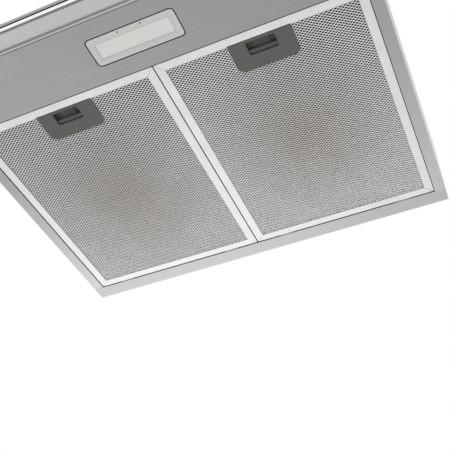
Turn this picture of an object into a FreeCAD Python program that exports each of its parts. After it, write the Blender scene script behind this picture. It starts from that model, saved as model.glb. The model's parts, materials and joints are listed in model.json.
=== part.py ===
"""Under cabinet range hood, 60 cm wide, with two swing-down grease filters, a centre lamp and a blower.

Frame: +X to the right as seen from the front, +Y towards the wall, +Z up, in millimetres.
The origin is the centre of the footprint, on the plane of the underside.
Depths called "back" are measured from the wall face towards the room.
"""

import FreeCAD, Part
import math
import os

V = FreeCAD.Vector

# ---------------------------------------------------------------- driving dimensions
CASE_WIDTH = 600.0
CASE_DEPTH = 489.0          # wall face to fascia face
CASE_HEIGHT = 132.0
SHEET = 1.0                 # steel sheet of the casing
FASCIA_HEIGHT = 73.0
FASCIA_RECESS = 46.0        # how far the upper box stands behind the fascia
CORNER = 3.0                # front lower corner of the side panels
FASCIA_LIFT = 3.0           # fascia's lower edge over the plane of the underside
SHADOW_GAP = 1.8            # fascia sheet to the front rail behind it
FRONT_RAIL = 2.8            # flat lip of the front rail on the underside
SEAM = 0.7                  # front rail to light panel
GROOVE_LOW = 43.5           # height where the shadow groove over the fascia starts
GROOVE_DEPTH = 6.0
TRIM_LOW = 52.3             # height of the bright trim strip
TRIM_HEIGHT = 8.5
CAP_HEIGHT = 8.8            # folded front edge of the ledge over the trim strip
RAIL_DEPTH = 23.7           # rear strip of the underside
SIDE_STRIP = 15.6           # side strips of the underside
PANEL_DEPTH = 90.1          # light panel, front to back
FIT_GAP = 0.8               # gap round each filter
FILTER_HEIGHT = 9.0
FILTER_RAISE = 1.0          # filter's lower face over the plane of the underside
CENTRE_GAP = 1.4            # gap between the two filters
FRAME_BORDER = 12.0
FRAME_WALL = 0.8
MESH_THICK = 0.8
HANDLE_WIDTH = 85.0
HANDLE_LENGTH = 45.0
HANDLE_CHAMFER = 5.8
HANDLE_THICK = 1.8
WINDOW_WIDTH = 39.3         # finger window in the handle
WINDOW_LENGTH = 19.8
WINDOW_CORNER = 2.5
WINDOW_INSET = 4.6          # handle's front edge to the window
POCKET_RISE = 4.5           # free height of the finger pocket over the handle plate
POCKET_WALL = 1.1
TAB_LENGTH = 6.6            # finger tab of the latch, along Y
LATCH_TRAVEL = 5.0
LATCH_THICK = 1.3
TONGUE_WIDTH = 22.0
LATCH_PLAY = 0.4
SPRING_ROOM = 15.5          # pocket length behind the tab, for the return spring
SPRING_RADIUS = 1.6
SPRING_WIRE = 0.3
LAMP_WIDTH = 122.0
LAMP_LENGTH = 39.5
LAMP_CORNER = 5.0
LAMP_PLAY = 1.5             # dark line round the lamp
LAMP_BACK = 45.0            # lamp centre from the front edge of its panel
LENS_WIDTH = 104.0
LENS_LENGTH = 22.0
LENS_STEP = 3.0             # width of the shallow step round the lens
LENS_STEP_DEPTH = 0.5
LAMP_HEIGHT = 14.0
DRIVER_LENGTH = 90.0
DRIVER_GAP = 34.0           # lamp to its driver
NOTCH_SPREAD = 32.0         # between the two pry notches in the lamp bezel's front border
SPIGOT_BACK = 150.0
SPIGOT_RADIUS = 59.5        # outside of the duct collar
SPIGOT_WALL = 2.0
SPIGOT_LENGTH = 32.0
SPIGOT_FLANGE_THICK = 1.5
FLANGE_WIDTH = 10.5         # screwed ring past the duct collar
ROOT_STEP = 1.0             # thicker root of the collar, inside the ring
ROOT_PROUD = 1.0            # root over the ring's face
SCREW_HOLE = 1.6
SCREW_HEAD = 3.2
FLAP_THICK = 1.2
FLAP_PLAY = 0.6
FLAP_HINGE = 3.2            # hinge pin to the collar's middle
PIN_RADIUS = 0.9
PIN_PLAY = 0.06
BARREL_RADIUS = 2.0
SCROLL_RADIUS = 53.0
SCROLL_WALL = 2.0
SCROLL_HALF = 46.0
SCROLL_DROP = 62.0          # wheel axis under the top panel
DUCT_HALF = 33.0            # half of the outlet duct, along Y
WHEEL_PLAY = 7.0            # wheel to scroll wall
SCROLL_FLANGE = 6.0         # outlet flange past the duct collar, against the top panel
INLET_LIP = 2.0             # inlet past the wheel's inner radius
BLADE_DEPTH = 9.0
WHEEL_HALF = 40.0
BLADES = 24
BLADE_THICK = 1.0
BLADE_INSET = 0.8           # blade edges inside the wheel's rims
BLADE_TILT = 18.0
RING_THICK = 2.0
DISC_THICK = 2.0
HUB_RADIUS = 8.0
HUB_HALF = 7.0
SHAFT_SEAT = 16.0           # shaft inside the motor
SHAFT_PLAY = 0.05
SHAFT_RADIUS = 4.0
MOTOR_PLAY = 8.0            # motor to the wheel's blades
MOTOR_LENGTH = 44.0
MOTOR_START = 9.0
FOOT_LENGTH = 6.0           # feet of the motor bracket on the scroll
KNOB_REACH = 5.0
KNOB_WIDTH = 14.0
KNOB_HEIGHT = 9.0
KNOB_STEM = 3.0
STEM_DEPTH = 5.0            # how far each stem reaches into the switch
FAN_TRAVEL = 18.0
LIGHT_TRAVEL = 8.0
LIGHT_INSET = 64.0          # lamp slider at rest, from the casing's right side
SLIDER_SPACING = 48.0
SWITCH_Z = 24.0
BEZEL_THICK = 1.0
MOUNT_INSET = 50.0          # mounting holes from the casing's sides
MOUNT_SPACING_Y = 250.0
MOUNT_HOLE = 3.5
MOUNT_BACK = 190.0          # middle of the mounting holes, from the wall
GLAND_INSET = 100.0
GLAND_BACK = 40.0
GLAND_RADIUS = 8.0

# ---------------------------------------------------------------- derived places
HALF = CASE_WIDTH / 2
REAR = (CASE_DEPTH + KNOB_REACH) / 2
FRONT = REAR - CASE_DEPTH
TOP = CASE_HEIGHT
BOX_FRONT = FRONT + FASCIA_RECESS
FILTER_REAR = REAR - RAIL_DEPTH - FIT_GAP
FILTER_LOW = FILTER_RAISE
FILTER_TOP = FILTER_LOW + FILTER_HEIGHT
RAIL_INNER = HALF - SIDE_STRIP               # inner edge of each side strip
FILTER_WIDTH = RAIL_INNER - FIT_GAP - CENTRE_GAP / 2
RAIL_FRONT = FRONT + SHEET + SHADOW_GAP
PANEL_FRONT = RAIL_FRONT + FRONT_RAIL + SEAM
PANEL_REAR = PANEL_FRONT + PANEL_DEPTH
FILTER_FRONT = PANEL_REAR + FIT_GAP
TRIM_TOP = TRIM_LOW + TRIM_HEIGHT
CAP_LOW = FASCIA_HEIGHT - CAP_HEIGHT
HANDLE_FRONT = FILTER_FRONT + FRAME_BORDER
HANDLE_TOP = FILTER_LOW + HANDLE_THICK
WINDOW_FRONT = HANDLE_FRONT + WINDOW_INSET
WINDOW_REAR = WINDOW_FRONT + WINDOW_LENGTH
POCKET_TOP = HANDLE_TOP + POCKET_RISE
TAB_REAR = WINDOW_REAR - LATCH_PLAY
TAB_FRONT = TAB_REAR - TAB_LENGTH
POCKET_REAR = TAB_REAR + SPRING_ROOM
LAMP_Y = PANEL_FRONT + LAMP_BACK
SPIGOT_Y = REAR - SPIGOT_BACK
SPIGOT_BORE = SPIGOT_RADIUS - SPIGOT_WALL
SPIGOT_FLANGE = SPIGOT_RADIUS + FLANGE_WIDTH
ROOT_RADIUS = SPIGOT_RADIUS + ROOT_STEP
ROOT_HEIGHT = SPIGOT_FLANGE_THICK + ROOT_PROUD
DUCT_FRONT = SPIGOT_Y - DUCT_HALF
DUCT_REAR = SPIGOT_Y + DUCT_HALF
SCROLL_Y = DUCT_FRONT + SCROLL_RADIUS
UNDER_TOP = TOP - SHEET
SCROLL_AXIS_Z = UNDER_TOP - SCROLL_DROP
WHEEL_RADIUS = SCROLL_RADIUS - SCROLL_WALL - WHEEL_PLAY
WHEEL_INNER = WHEEL_RADIUS - BLADE_DEPTH
INLET_RADIUS = WHEEL_INNER + INLET_LIP
MOTOR_RADIUS = WHEEL_INNER - MOTOR_PLAY
LIGHT_X = HALF - LIGHT_INSET
FAN_X = LIGHT_X - SLIDER_SPACING
GLAND_X = HALF - GLAND_INSET
MOUNT_HALF_X = HALF - MOUNT_INSET
SEAT_Z = TOP + 6.0                           # ledge that the closed flaps lie on
SEAT_THICK = 1.2
FLAP_Z = SEAT_Z + SEAT_THICK + 0.2
PIN_Z = FLAP_Z + BARREL_RADIUS
SIDES = {"left": -1, "right": 1}


# ---------------------------------------------------------------- small helpers
def block(x0, x1, y0, y1, z0, z1):
    """A box between two corners, given in any order."""
    x0, x1 = sorted((x0, x1))
    y0, y1 = sorted((y0, y1))
    z0, z1 = sorted((z0, z1))
    return Part.makeBox(x1 - x0, y1 - y0, z1 - z0, V(x0, y0, z0))


def along_x(points, x0, x1):
    """A closed YZ outline, pushed from x0 to x1."""
    corners = [V(x0, y, z) for y, z in points]
    face = Part.Face(Part.makePolygon(corners + corners[:1]))
    return face.extrude(V(x1 - x0, 0, 0))


def along_z(points, z0, z1):
    """A closed XY outline, pushed from z0 to z1."""
    corners = [V(x, y, z0) for x, y in points]
    face = Part.Face(Part.makePolygon(corners + corners[:1]))
    return face.extrude(V(0, 0, z1 - z0))


def rounded(width, length, radius, cx, cy, z0, z1):
    """An upright block with rounded vertical edges."""
    body = block(cx - width / 2, cx + width / 2, cy - length / 2, cy + length / 2, z0, z1)
    upright = [e for e in body.Edges if abs(e.tangentAt(e.FirstParameter).z) > 0.9]
    return body.makeFillet(radius, upright)


def bend(solid, radius, y, z):
    """Round the edge along X that passes through (y, z)."""
    near = [e for e in solid.Edges if max(abs(p.Point.y - y) + abs(p.Point.z - z) for p in e.Vertexes) < 0.01]
    return solid.makeFillet(radius, near)


def rod(radius, start, along, length):
    return Part.makeCylinder(radius, length, V(*start), V(*along))


def save(name, *solids):
    shape = solids[0] if len(solids) == 1 else Part.makeCompound(list(solids))
    shape.exportStep(os.path.join("parts", name + ".step"))


# ---------------------------------------------------------------- casing
def make_top_panel():
    panel = block(-HALF + SHEET, HALF - SHEET, BOX_FRONT + SHEET, REAR - SHEET, UNDER_TOP, TOP)
    panel = panel.cut(rod(SPIGOT_BORE, (0, SPIGOT_Y, UNDER_TOP - 1), (0, 0, 1), SHEET + 2))
    panel = panel.cut(rod(GLAND_RADIUS, (GLAND_X, REAR - GLAND_BACK, UNDER_TOP - 1), (0, 0, 1), SHEET + 2))
    middle = REAR - MOUNT_BACK
    for sx in (-1, 1):
        for sy in (-1, 1):
            place = (sx * MOUNT_HALF_X, middle + sy * MOUNT_SPACING_Y / 2, UNDER_TOP - 1)
            panel = panel.cut(rod(MOUNT_HOLE, place, (0, 0, 1), SHEET + 2))
    save("top_panel", panel)


def make_rear_panel():
    wall = block(-HALF + SHEET, HALF - SHEET, REAR - SHEET, REAR, 0, TOP)
    strip = block(-HALF + SHEET, HALF - SHEET, REAR - RAIL_DEPTH, REAR - SHEET, 0, SHEET)
    save("rear_panel", wall.fuse(strip).removeSplitter())


def make_side_panel(name, side):
    outline = [(REAR, 0), (REAR, TOP), (BOX_FRONT, TOP), (BOX_FRONT, FASCIA_HEIGHT)]
    outline += [(FRONT, FASCIA_HEIGHT), (FRONT, 0)]
    wall = bend(along_x(outline, side * (HALF - SHEET), side * HALF), CORNER, FRONT, 0)
    strip = block(side * RAIL_INNER, side * (HALF - SHEET), PANEL_REAR, REAR - RAIL_DEPTH, 0, SHEET)
    save("side_panel_" + name, wall.fuse(strip).removeSplitter())


def make_light_panel():
    edge = HALF - SHEET
    lip = 11.0
    sheet = block(-edge, edge, PANEL_FRONT, PANEL_REAR, 0, SHEET)
    rear_lip = block(-edge, edge, PANEL_REAR - SHEET, PANEL_REAR, 0, lip)
    front_lip = block(-edge, edge, PANEL_FRONT, PANEL_FRONT + SHEET, 0, lip)
    panel = sheet.fuse([rear_lip, front_lip]).removeSplitter()
    hole = rounded(LAMP_WIDTH + 2 * LAMP_PLAY, LAMP_LENGTH + 2 * LAMP_PLAY, LAMP_CORNER + LAMP_PLAY,
                   0, LAMP_Y, -1, SHEET + 1)
    save("light_panel", panel.cut(hole))


def slider_slots(sheet, near, far):
    """Cut the two slider slots through everything from near to far."""
    reach = KNOB_STEM / 2 + LATCH_PLAY
    for x, travel in ((FAN_X, FAN_TRAVEL), (LIGHT_X, LIGHT_TRAVEL)):
        sheet = sheet.cut(block(x - reach, x + travel + reach, near, far, SWITCH_Z - reach, SWITCH_Z + reach))
    return sheet


def make_front_rail():
    """Angle behind the fascia: a narrow lip on the underside and a wall up to the fascia's return."""
    edge = HALF - SHEET
    wall = block(-edge, edge, RAIL_FRONT, RAIL_FRONT + SHEET, 0, GROOVE_LOW - SHEET)
    lip = block(-edge, edge, RAIL_FRONT, RAIL_FRONT + FRONT_RAIL, 0, SHEET)
    rail = wall.fuse(lip).removeSplitter()
    save("front_rail", slider_slots(rail, RAIL_FRONT - 1, RAIL_FRONT + SHEET + 1))


def make_front_fascia():
    """Upright sheet with a hem back to the front rail, stepped back behind the trim strip."""
    back = FRONT + SHEET
    hem_top = FASCIA_LIFT + SHEET
    groove = FRONT + GROOVE_DEPTH
    top = TRIM_LOW + TRIM_HEIGHT / 2
    outline = [
        (FRONT, FASCIA_LIFT), (FRONT, GROOVE_LOW), (groove - SHEET, GROOVE_LOW), (groove - SHEET, top),
        (groove, top), (groove, GROOVE_LOW - SHEET), (back, GROOVE_LOW - SHEET), (back, hem_top),
        (RAIL_FRONT, hem_top), (RAIL_FRONT, FASCIA_LIFT),
    ]
    edge = HALF - SHEET
    save("front_fascia", slider_slots(along_x(outline, -edge, edge), FRONT - 1, back + 1))


def make_trim_strip():
    edge = HALF - SHEET
    save("trim_strip", block(-edge, edge, FRONT, FRONT + GROOVE_DEPTH - SHEET, TRIM_LOW, TRIM_TOP))


def make_top_ledge():
    """Folded cover from the fascia's top edge back to the upper box, and up its front wall."""
    edge = HALF - SHEET
    groove = FRONT + GROOVE_DEPTH
    outline = [
        (FRONT, CAP_LOW), (FRONT, FASCIA_HEIGHT), (BOX_FRONT, FASCIA_HEIGHT), (BOX_FRONT, TOP),
        (BOX_FRONT + SHEET, TOP), (BOX_FRONT + SHEET, FASCIA_HEIGHT - SHEET),
        (FRONT + SHEET, FASCIA_HEIGHT - SHEET), (FRONT + SHEET, CAP_LOW + SHEET),
        (groove, CAP_LOW + SHEET), (groove, CAP_LOW),
    ]
    save("top_ledge", along_x(outline, -edge, edge))


def make_centre_support():
    """Channel over the joint between the filters, from the rear panel to the light panel."""
    half, lift = 10.0, 0.6
    base = FILTER_TOP + lift
    top = SCROLL_AXIS_Z - SCROLL_RADIUS - lift
    channel = block(-half, half, PANEL_REAR, REAR - SHEET, base, top)
    channel = channel.cut(block(-half + SHEET, half - SHEET, PANEL_REAR - 1, REAR, base + SHEET, top + 1))
    save("centre_support", channel)


# ---------------------------------------------------------------- lamp
def make_lamp():
    bezel = rounded(LAMP_WIDTH, LAMP_LENGTH, LAMP_CORNER, 0, LAMP_Y, 0, LAMP_HEIGHT)
    bezel = bezel.cut(rounded(LAMP_WIDTH - 4, LAMP_LENGTH - 4, LAMP_CORNER - 2, 0, LAMP_Y, 2.0, LAMP_HEIGHT + 1))
    bezel = bezel.cut(rounded(LENS_WIDTH, LENS_LENGTH, 2.0, 0, LAMP_Y, -1, 3))
    bezel = bezel.cut(rounded(LENS_WIDTH + 2 * LENS_STEP, LENS_LENGTH + 2 * LENS_STEP, 2.0 + LENS_STEP / 2,
                              0, LAMP_Y, -1, LENS_STEP_DEPTH))
    notch = LAMP_Y - LAMP_LENGTH / 2 + 2.5
    for x in (-NOTCH_SPREAD / 2, NOTCH_SPREAD / 2):
        bezel = bezel.cut(block(x - 1.5, x + 1.5, notch, notch + 1.2, -1, 1))
    ears = block(-LAMP_WIDTH / 2 - 6, LAMP_WIDTH / 2 + 6, LAMP_Y - 8, LAMP_Y + 8, SHEET, SHEET + 2)
    hollow = block(-LAMP_WIDTH / 2 + 1, LAMP_WIDTH / 2 - 1, LAMP_Y - 9, LAMP_Y + 9, 0, SHEET + 3)
    save("lamp_bezel", bezel.fuse(ears.cut(hollow)).removeSplitter())
    lens = rounded(LENS_WIDTH - 0.4, LENS_LENGTH - 0.4, 1.8, 0, LAMP_Y, 0.6, 2.0)
    rim = rounded(LENS_WIDTH + 6, LENS_LENGTH + 6, 3.0, 0, LAMP_Y, 2.0, 3.0)
    save("lamp_lens", lens.fuse(rim).removeSplitter())
    board = block(-50, 50, LAMP_Y - 8, LAMP_Y + 8, LAMP_HEIGHT - 3.6, LAMP_HEIGHT - 2)
    chips = [block(x - 2, x + 2, LAMP_Y - 2, LAMP_Y + 2, LAMP_HEIGHT - 4.6, LAMP_HEIGHT - 3.6)
             for x in range(-45, 46, 10)]
    save("led_board", board.fuse(chips))
    cover = rounded(LAMP_WIDTH, LAMP_LENGTH, LAMP_CORNER, 0, LAMP_Y, LAMP_HEIGHT, LAMP_HEIGHT + 1.5)
    boss = block(-50, 50, LAMP_Y - 3, LAMP_Y + 3, LAMP_HEIGHT - 2, LAMP_HEIGHT)
    save("lamp_cover", cover.fuse(boss).removeSplitter())
    driver_x = LAMP_WIDTH / 2 + DRIVER_GAP + DRIVER_LENGTH / 2
    driver = rounded(DRIVER_LENGTH, 34, 3.0, driver_x, LAMP_Y, SHEET, SHEET + 20)
    save("led_driver", driver)


# ---------------------------------------------------------------- grease filters
def filter_centre(side):
    return side * (CENTRE_GAP / 2 + FILTER_WIDTH / 2)


def make_filter_frame(name, side):
    cx = filter_centre(side)
    x0, x1 = cx - FILTER_WIDTH / 2, cx + FILTER_WIDTH / 2
    frame = block(x0, x1, FILTER_FRONT, FILTER_REAR, FILTER_LOW, FILTER_TOP)
    frame = frame.cut(block(x0 + FRAME_BORDER, x1 - FRAME_BORDER, FILTER_FRONT + FRAME_BORDER,
                            FILTER_REAR - FRAME_BORDER, FILTER_LOW - 1, FILTER_TOP + 1))
    frame = frame.cut(block(x0 + FRAME_WALL, x1 - FRAME_WALL, FILTER_FRONT + FRAME_WALL,
                            FILTER_REAR - FRAME_WALL, FILTER_LOW + FRAME_WALL, FILTER_TOP - FRAME_WALL))
    slot_low = POCKET_TOP - LATCH_THICK - LATCH_PLAY
    slot_half = TONGUE_WIDTH / 2 + LATCH_PLAY
    frame = frame.cut(block(cx - slot_half, cx + slot_half, FILTER_FRONT - 1, FILTER_FRONT + 2,
                            slot_low, POCKET_TOP + LATCH_PLAY))
    tabs = []
    for shift in (-FILTER_WIDTH / 3, FILTER_WIDTH / 3):
        tabs.append(block(cx + shift - 10, cx + shift + 10, FILTER_REAR - FRAME_WALL, FILTER_REAR + 6,
                          FILTER_LOW + 0.3, FILTER_LOW + 1.8))
    save("filter_frame_" + name, frame.fuse(tabs).removeSplitter())


def make_filter_layers(name, side):
    """Outer expanded sheet, inner mesh pack and back sheet, held in the frame's channel."""
    cx = filter_centre(side)
    inset = FRAME_WALL + 0.2
    x0, x1 = cx - FILTER_WIDTH / 2 + inset, cx + FILTER_WIDTH / 2 - inset
    y0, y1 = FILTER_FRONT + inset, FILTER_REAR - inset
    low = FILTER_LOW + FRAME_WALL
    high = FILTER_TOP - FRAME_WALL
    handle_room = block(cx - HANDLE_WIDTH / 2 - 0.2, cx + HANDLE_WIDTH / 2 + 0.2, y0 - 1,
                        HANDLE_FRONT + HANDLE_LENGTH + 0.2, low - 1, high - MESH_THICK - 0.1)
    pocket_half = WINDOW_WIDTH / 2 + POCKET_WALL + 0.3
    pocket_room = block(cx - pocket_half, cx + pocket_half, y0 - 1, POCKET_REAR + POCKET_WALL + 0.3,
                        low - 1, high - MESH_THICK)
    outer = block(x0, x1, y0, y1, low, low + MESH_THICK).cut(handle_room)
    save("filter_mesh_" + name, outer)
    pad = block(x0, x1, y0, y1, low + MESH_THICK, high - MESH_THICK)
    plate_room = block(cx - HANDLE_WIDTH / 2 - 0.2, cx + HANDLE_WIDTH / 2 + 0.2, y0 - 1,
                       HANDLE_FRONT + HANDLE_LENGTH + 0.2, low - 1, HANDLE_TOP)
    save("filter_pad_" + name, pad.cut(plate_room).cut(pocket_room))
    save("filter_back_mesh_" + name, block(x0, x1, y0, y1, high - MESH_THICK, high))


def make_handle(name, side):
    """Plastic plate with chamfered corners, a finger window and a closed pocket over it."""
    cx = filter_centre(side)
    half = HANDLE_WIDTH / 2
    rear = HANDLE_FRONT + HANDLE_LENGTH
    outline = [
        (cx - half, HANDLE_FRONT), (cx + half, HANDLE_FRONT), (cx + half, rear - HANDLE_CHAMFER),
        (cx + half - HANDLE_CHAMFER, rear), (cx - half + HANDLE_CHAMFER, rear),
        (cx - half, rear - HANDLE_CHAMFER),
    ]
    plate = along_z(outline, FILTER_LOW, HANDLE_TOP)
    inner = WINDOW_WIDTH / 2
    outer = inner + POCKET_WALL
    tub = block(cx - outer, cx + outer, HANDLE_FRONT, POCKET_REAR + POCKET_WALL, HANDLE_TOP - 0.5,
                POCKET_TOP + POCKET_WALL)
    room = block(cx - inner, cx + inner, WINDOW_FRONT, POCKET_REAR, HANDLE_TOP, POCKET_TOP)
    window = rounded(WINDOW_WIDTH, WINDOW_LENGTH, WINDOW_CORNER, cx, (WINDOW_FRONT + WINDOW_REAR) / 2,
                     FILTER_LOW - 1, HANDLE_TOP + 0.1)
    slot_half = TONGUE_WIDTH / 2 + LATCH_PLAY
    slot = block(cx - slot_half, cx + slot_half, HANDLE_FRONT - 1, WINDOW_FRONT + 1,
                 POCKET_TOP - LATCH_THICK - LATCH_PLAY, POCKET_TOP)
    save("filter_handle_" + name, plate.fuse(tub).cut(room).cut(window).cut(slot).removeSplitter())


def make_latch(name, side):
    """Finger tab with a sloped face, an arm across the pocket and a tongue out of the filter's front."""
    cx = filter_centre(side)
    half = WINDOW_WIDTH / 2 - LATCH_PLAY
    low = HANDLE_TOP + 0.3
    high = POCKET_TOP - 0.1
    arm_low = POCKET_TOP - LATCH_THICK
    outline = [(TAB_FRONT, arm_low), (TAB_FRONT + 1.0, low), (TAB_REAR, low), (TAB_REAR, high),
               (TAB_FRONT, high)]
    tab = along_x(outline, cx - half, cx + half)
    tongue = TONGUE_WIDTH / 2
    arm = block(cx - tongue, cx + tongue, FILTER_FRONT, TAB_REAR, arm_low, high)
    save("filter_latch_" + name, tab.fuse(arm).removeSplitter())


def make_latch_spring(name, side):
    """Two compression springs between the tab's rear face and the pocket's rear wall."""
    cx = filter_centre(side)
    z = (HANDLE_TOP + POCKET_TOP) / 2
    length = POCKET_REAR - TAB_REAR - 2 * SPRING_WIRE - 0.2
    springs = []
    for shift in (-8.0, 8.0):
        helix = Part.makeHelix(length / 6, length, SPRING_RADIUS)
        start = V(SPRING_RADIUS, 0, 0)
        section = Part.Wire(Part.makeCircle(SPRING_WIRE, start, V(0, 1, 0)))
        coil = Part.Wire(helix).makePipeShell([section], True, True)
        coil.rotate(V(0, 0, 0), V(1, 0, 0), -90)
        coil.translate(V(cx + shift, TAB_REAR + SPRING_WIRE + 0.1, z))
        springs.append(coil)
    save("latch_spring_" + name, *springs)


# ---------------------------------------------------------------- blower
def scroll_solid(radius, half, front, rear, top):
    drum = rod(radius, (-half, SCROLL_Y, SCROLL_AXIS_Z), (1, 0, 0), 2 * half)
    duct = block(-half, half, front, rear, SCROLL_AXIS_Z, top)
    return drum.fuse(duct).removeSplitter()


def make_scroll():
    outer = scroll_solid(SCROLL_RADIUS, SCROLL_HALF, DUCT_FRONT, DUCT_REAR, UNDER_TOP)
    inner = scroll_solid(SCROLL_RADIUS - SCROLL_WALL, SCROLL_HALF - SCROLL_WALL, DUCT_FRONT + SCROLL_WALL,
                         DUCT_REAR - SCROLL_WALL, UNDER_TOP + 5)
    reach = SPIGOT_RADIUS + SCROLL_FLANGE
    flange = block(-reach, reach, SPIGOT_Y - reach, SPIGOT_Y + reach, UNDER_TOP - SCROLL_WALL, UNDER_TOP)
    shell = outer.fuse(flange).cut(inner)
    shell = shell.cut(rod(INLET_RADIUS, (-SCROLL_HALF - 5, SCROLL_Y, SCROLL_AXIS_Z), (1, 0, 0),
                          2 * SCROLL_HALF + 10))
    for name, side in SIDES.items():
        half_space = block(0, side * HALF, FRONT, REAR, 0, TOP)
        save("scroll_" + name, shell.common(half_space))


def make_impeller():
    """Double-inlet wheel: a slotted middle disc on a hub, blades through it, and a ring over each end of them."""
    axis = (1, 0, 0)
    half_disc = DISC_THICK / 2
    blades = []
    for number in range(BLADES):
        blade = block(-WHEEL_HALF + RING_THICK, WHEEL_HALF - RING_THICK, SCROLL_Y - BLADE_THICK / 2,
                      SCROLL_Y + BLADE_THICK / 2, SCROLL_AXIS_Z + WHEEL_INNER + BLADE_INSET,
                      SCROLL_AXIS_Z + WHEEL_RADIUS - BLADE_INSET)
        blade.rotate(V(0, SCROLL_Y, SCROLL_AXIS_Z + WHEEL_INNER), V(1, 0, 0), BLADE_TILT)
        blade.rotate(V(0, SCROLL_Y, SCROLL_AXIS_Z), V(1, 0, 0), 360.0 * number / BLADES)
        blades.append(blade)
    rings = []
    for end in (-WHEEL_HALF, WHEEL_HALF - RING_THICK):
        ring = rod(WHEEL_RADIUS, (end, SCROLL_Y, SCROLL_AXIS_Z), axis, RING_THICK)
        rings.append(ring.cut(rod(WHEEL_INNER, (end - 1, SCROLL_Y, SCROLL_AXIS_Z), axis, RING_THICK + 2)))
    disc = rod(WHEEL_RADIUS, (-half_disc, SCROLL_Y, SCROLL_AXIS_Z), axis, DISC_THICK)
    disc = disc.fuse(rod(HUB_RADIUS, (-HUB_HALF, SCROLL_Y, SCROLL_AXIS_Z), axis, 2 * HUB_HALF))
    disc = disc.cut(rod(SHAFT_RADIUS, (-HUB_HALF - 1, SCROLL_Y, SCROLL_AXIS_Z), axis, 2 * HUB_HALF + 2))
    save("impeller_hub", disc.cut(blades).removeSplitter())
    save("wheel_blades", *blades)
    save("wheel_rings", *rings)
    shaft = rod(SHAFT_RADIUS, (-HUB_HALF - 2, SCROLL_Y, SCROLL_AXIS_Z), axis, MOTOR_START + SHAFT_SEAT + HUB_HALF + 2)
    save("impeller_shaft", shaft)


def make_motor():
    """Motor inside the right half of the wheel, carried by a three-armed bracket over the inlet."""
    axis = (1, 0, 0)
    can = rod(MOTOR_RADIUS, (MOTOR_START, SCROLL_Y, SCROLL_AXIS_Z), axis, MOTOR_LENGTH)
    bore = rod(SHAFT_RADIUS + SHAFT_PLAY, (MOTOR_START - 1, SCROLL_Y, SCROLL_AXIS_Z), axis, SHAFT_SEAT + 4)
    save("motor", can.cut(bore))
    end = MOTOR_START + MOTOR_LENGTH
    bracket = rod(12.0, (end, SCROLL_Y, SCROLL_AXIS_Z), axis, 2)
    reach = SCROLL_AXIS_Z + INLET_RADIUS + FOOT_LENGTH + 3
    for angle in (90, 210, 330):
        arm = block(end, end + 2, SCROLL_Y - 4, SCROLL_Y + 4, SCROLL_AXIS_Z, reach)
        foot = block(SCROLL_HALF, end + 2, SCROLL_Y - 4, SCROLL_Y + 4, reach - FOOT_LENGTH, reach)
        leg = arm.fuse(foot)
        leg.rotate(V(0, SCROLL_Y, SCROLL_AXIS_Z), V(1, 0, 0), angle - 90)
        bracket = bracket.fuse(leg)
    save("motor_bracket", bracket.removeSplitter())


# ---------------------------------------------------------------- duct collar and back-draught flaps
def make_spigot():
    """Round collar with a seat for the flaps, clamped on the top panel by a screwed ring."""
    z_axis = (0, 0, 1)
    middle = (0, SPIGOT_Y, TOP)
    ring = rod(SPIGOT_FLANGE, middle, z_axis, SPIGOT_FLANGE_THICK)
    ring = ring.cut(rod(ROOT_RADIUS, middle, z_axis, SPIGOT_LENGTH))
    collar = rod(SPIGOT_RADIUS, middle, z_axis, SPIGOT_LENGTH)
    collar = collar.fuse(rod(ROOT_RADIUS, middle, z_axis, ROOT_HEIGHT))
    collar = collar.cut(rod(SPIGOT_BORE, (0, SPIGOT_Y, TOP - 1), z_axis, SPIGOT_LENGTH + 2))
    seat = rod(SPIGOT_BORE + 0.5, (0, SPIGOT_Y, SEAT_Z), z_axis, SEAT_THICK)
    seat = seat.cut(rod(SPIGOT_BORE - 3, (0, SPIGOT_Y, SEAT_Z - 1), z_axis, SEAT_THICK + 2))
    collar = collar.fuse(seat).removeSplitter()
    for side in (-1, 1):
        collar = collar.cut(flap_pin(side))
    for angle in (45, 135, 225, 315):
        x, y = screw_place(angle)
        ring = ring.cut(rod(SCREW_HOLE, (x, y, TOP - 1), z_axis, SPIGOT_LENGTH))
    save("duct_collar", collar)
    save("collar_ring", ring)


def screw_place(angle):
    reach = (SPIGOT_RADIUS + SPIGOT_FLANGE) / 2
    turn = math.radians(angle)
    return reach * math.cos(turn), SPIGOT_Y + reach * math.sin(turn)


def flap_pin(side):
    reach = SPIGOT_RADIUS - 0.6
    return rod(PIN_RADIUS, (-reach, SPIGOT_Y + side * FLAP_HINGE, PIN_Z), (1, 0, 0), 2 * reach)


def make_flaps():
    save("flap_pins", flap_pin(-1), flap_pin(1))
    for name, side in (("front", -1), ("rear", 1)):
        hinge = SPIGOT_Y + side * FLAP_HINGE
        disc = rod(SPIGOT_BORE - FLAP_PLAY, (0, SPIGOT_Y, FLAP_Z), (0, 0, 1), FLAP_THICK)
        edge = SPIGOT_Y + side * SPIGOT_RADIUS
        keep = block(-SPIGOT_RADIUS, SPIGOT_RADIUS, hinge, edge, FLAP_Z - 1, FLAP_Z + 5)
        half_length = SPIGOT_BORE - 4
        barrel = rod(BARREL_RADIUS, (-half_length, hinge, PIN_Z), (1, 0, 0), 2 * half_length)
        flap = disc.common(keep).fuse(barrel)
        bore = rod(PIN_RADIUS + PIN_PLAY, (-100, hinge, PIN_Z), (1, 0, 0), 200)
        save("flap_" + name, flap.cut(bore))


def make_collar_screws():
    screws = []
    for angle in (45, 135, 225, 315):
        x, y = screw_place(angle)
        shank = rod(SCREW_HOLE - 0.1, (x, y, TOP), (0, 0, 1), SPIGOT_FLANGE_THICK)
        head = rod(SCREW_HEAD, (x, y, TOP + SPIGOT_FLANGE_THICK), (0, 0, 1), SCREW_HEAD / 2)
        screws.append(shank.fuse(head))
    save("collar_screws", *screws)


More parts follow.
